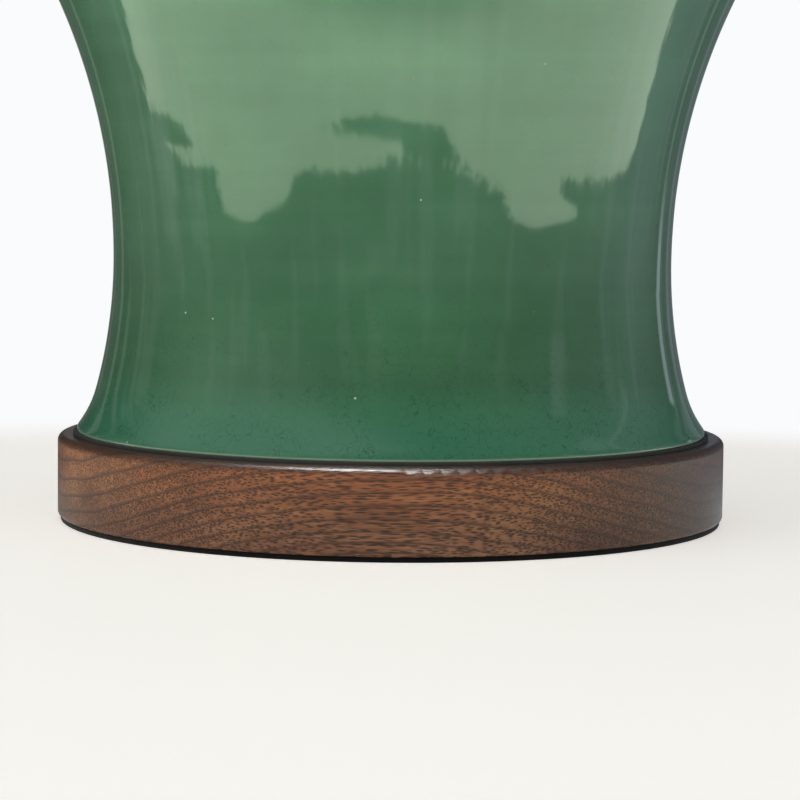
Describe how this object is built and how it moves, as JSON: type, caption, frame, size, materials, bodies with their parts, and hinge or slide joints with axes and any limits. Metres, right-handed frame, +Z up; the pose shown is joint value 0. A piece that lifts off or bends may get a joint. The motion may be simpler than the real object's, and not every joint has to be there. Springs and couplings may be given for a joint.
{
  "type": "table lamp",
  "caption": "Table lamp with a waisted crackle-glazed jar on a round walnut base, a harp and a tapered linen drum shade.",
  "frame": {"origin": "centre of the felt's underside, on the surface that the lamp stands on", "axes": "+Z up along the jar's axis; the front, where the switch knob points, is -Y; the cord hole is at +Y; the harp's legs stand at -X and +X"},
  "size_m": [0.4077, 0.4076, 0.703],
  "materials": {
    "felt": "pressed black felt",
    "walnut": "satin varnish over walnut",
    "crackle_glaze": "glossy green crackle glaze on stoneware",
    "gasket_rubber": "matt moulded rubber",
    "bushing_nylon": "moulded nylon",
    "zinc_steel": "zinc plated",
    "aged_brass": "satin, aged",
    "socket_brass": "spun, lacquered",
    "contact_brass": "stamped, bare",
    "fibre_liner": "vulcanised fibre sheet",
    "phenolic": "moulded phenolic",
    "knob_phenolic": "polished moulded phenolic",
    "linen": "woven linen laminated to a stiff backing",
    "shade_backing": "white styrene backing",
    "linen_tape": "folded linen tape",
    "bulb_insulator_glass": "black vitrite glass",
    "bulb_cap_metal": "rolled nickel-plated sheet",
    "bulb_glass": "clear blown glass",
    "led_filament": "phosphor-coated rod"
  },
  "bodies": {
    "root": {"base_felt": "felt", "walnut_base": "walnut", "cord_bushing": "bushing_nylon", "foot_gasket": "gasket_rubber", "jar": "crackle_glaze", "floor_grommet": "gasket_rubber", "base_washer": "zinc_steel", "base_lock_washer": "zinc_steel", "base_nut": "zinc_steel", "lamp_pipe": "zinc_steel", "neck_gasket": "gasket_rubber", "vase_cap": "aged_brass", "check_ring": "aged_brass", "neck_tube": "aged_brass", "harp_saddle": "aged_brass", "saddle_nut": "aged_brass", "socket_cap": "socket_brass", "cap_set_screw": "zinc_steel", "socket_shell": "socket_brass", "shell_liner": "fibre_liner", "socket_insulator": "phenolic", "screw_shell": "contact_brass", "centre_contact": "contact_brass", "hot_terminal_screw": "contact_brass", "neutral_terminal_screw": "zinc_steel", "socket_rivets": "contact_brass", "rotor_bush": "contact_brass"},
    "harp": {"harp_wire": "aged_brass"},
    "ferrule_left": {"harp_ferrule_left": "aged_brass"},
    "ferrule_right": {"harp_ferrule_right": "aged_brass"},
    "shade": {"harp_stud": "aged_brass", "shade_spider": "aged_brass", "shade_top_ring": "aged_brass", "shade_bottom_ring": "aged_brass", "shade_linen": "linen", "shade_backing": "shade_backing", "shade_top_trim": "linen_tape", "shade_bottom_trim": "linen_tape"},
    "finial_screw": {"finial_insert": "contact_brass"},
    "finial": {"finial_collar": "aged_brass", "finial_knob": "walnut"},
    "bulb_screw": {"bulb_tip": "contact_brass"},
    "bulb": {"bulb_insulator": "bulb_insulator_glass", "bulb_cap": "bulb_cap_metal", "bulb_glass": "bulb_glass", "bulb_stem": "bulb_glass", "bulb_filaments": "led_filament"},
    "switch": {"switch_rotor": "phenolic", "switch_knob": "knob_phenolic"}
  },
  "joints": [
    {"name": "harp_lift", "type": "slide", "parent": "root", "child": "harp", "axis": [0, 0, 1], "range_m": [0, 0.03]},
    {"name": "ferrule_left_slide", "type": "slide", "parent": "harp", "child": "ferrule_left", "axis": [0, 0, 1], "range_m": [0, 0.012]},
    {"name": "ferrule_right_slide", "type": "slide", "parent": "harp", "child": "ferrule_right", "axis": [0, 0, 1], "range_m": [0, 0.012]},
    {"name": "shade_swivel", "type": "hinge", "parent": "harp", "child": "shade", "pos_m": [0, 0, 0.67023], "axis": [0, 0, 1], "continuous": true},
    {"name": "finial_lift", "type": "slide", "parent": "shade", "child": "finial_screw", "axis": [0, 0, 1], "range_m": [0, 0.00951]},
    {"name": "finial_turn", "type": "hinge", "parent": "finial_screw", "child": "finial", "pos_m": [0, 0, 0.69001], "axis": [0, 0, 1], "range_deg": [0, 3600]},
    {"name": "bulb_lift", "type": "slide", "parent": "root", "child": "bulb_screw", "axis": [0, 0, 1], "range_m": [0, 0.01462]},
    {"name": "bulb_turn", "type": "hinge", "parent": "bulb_screw", "child": "bulb", "pos_m": [0, 0, 0.51468], "axis": [0, 0, 1], "range_deg": [0, 1440]},
    {"name": "switch_turn", "type": "hinge", "parent": "root", "child": "switch", "pos_m": [0, -0.03995, 0.47523], "axis": [0, -1, 0], "continuous": true}
  ],
  "couplings": [
    {"joint": "finial_lift", "follows": "finial_turn", "m_per_rad": 0.00014972},
    {"joint": "bulb_lift", "follows": "bulb_turn", "m_per_rad": 0.00057773}
  ]
}
